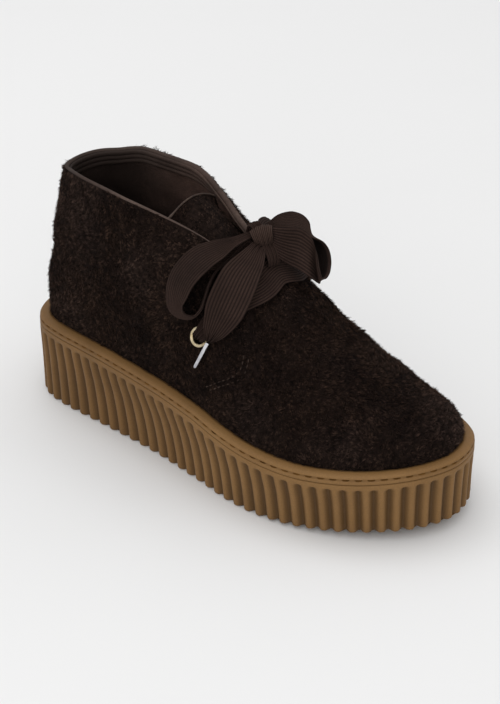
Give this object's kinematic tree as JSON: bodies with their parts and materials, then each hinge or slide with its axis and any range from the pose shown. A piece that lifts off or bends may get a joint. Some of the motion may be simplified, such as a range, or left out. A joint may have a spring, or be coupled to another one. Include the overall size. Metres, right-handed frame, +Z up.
{
  "type": "lace-up shoe",
  "caption": "Low lace-up ankle shoe in brushed suede with a thick ribbed platform sole, hollow upper, tongue and a wide flat lace tied in a bow.",
  "frame": {"origin": "on the floor, in the middle of the sole's outline seen from above", "axes": "+X from the heel to the toe, +Y to the inner side of the foot, +Z up"},
  "size_m": [0.2664, 0.108, 0.1386],
  "materials": {
    "gum": "matt gum rubber with upright ribs",
    "suede": "long-nap brushed suede",
    "lining": "smooth matt lining leather",
    "lace": "flat ribbed cotton ribbon",
    "eyelet_metal": "aged pale metal",
    "aglet_metal": "bright metal tip"
  },
  "bodies": {
    "root": {"outsole": "gum", "welt": "gum", "upper": "suede", "insole": "lining", "tongue": "suede", "eyelet_lower_outer": "eyelet_metal", "eyelet_lower_inner": "eyelet_metal", "eyelet_upper_outer": "eyelet_metal", "eyelet_upper_inner": "eyelet_metal", "lace_bar_lower": "lace", "lace_bar_upper": "lace", "lace_knot": "lace", "lace_loop_outer": "lace", "lace_end_outer": "lace", "lace_loop_inner": "lace", "lace_end_inner": "lace", "aglet_outer": "aglet_metal", "aglet_inner": "aglet_metal"}
  },
  "joints": []
}
